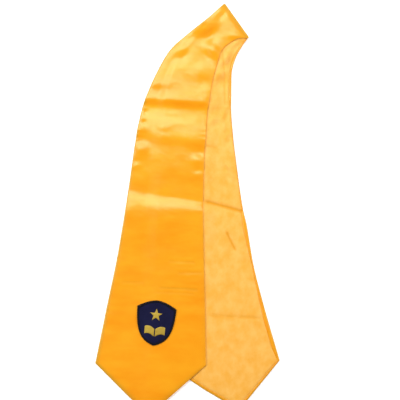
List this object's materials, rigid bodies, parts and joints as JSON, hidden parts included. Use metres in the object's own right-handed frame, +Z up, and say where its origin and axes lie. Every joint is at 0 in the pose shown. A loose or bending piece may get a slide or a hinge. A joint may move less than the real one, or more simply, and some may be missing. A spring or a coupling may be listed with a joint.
{
  "type": "graduation stole",
  "caption": "Gold satin graduation stole with pointed ends and a shield patch, folded at the centre back of the neck and laid flat.",
  "frame": {"origin": "on the surface the stole lies on, under the middle of its outline", "axes": "+X to the right of the picture, from the front arm towards the back arm; +Y from the points up to the neck fold; +Z up from the surface towards the camera"},
  "size_m": [0.2766, 0.6184, 0.0107],
  "materials": {
    "satin": "glossy gold polyester satin, woven side out",
    "lining": "paler gold lining with a soft sheen",
    "border_thread": "near-black overlocked rayon thread",
    "patch_twill": "matt navy twill",
    "gold_thread": "old-gold embroidery thread with a sheen"
  },
  "bodies": {
    "root": {"satin_front_arm": "satin", "satin_back_arm": "satin", "lining_front_arm": "lining", "lining_back_arm": "lining", "patch_border": "border_thread", "patch_ground": "patch_twill", "emblem_star": "gold_thread", "emblem_page_left": "gold_thread", "emblem_page_right": "gold_thread"}
  },
  "joints": []
}
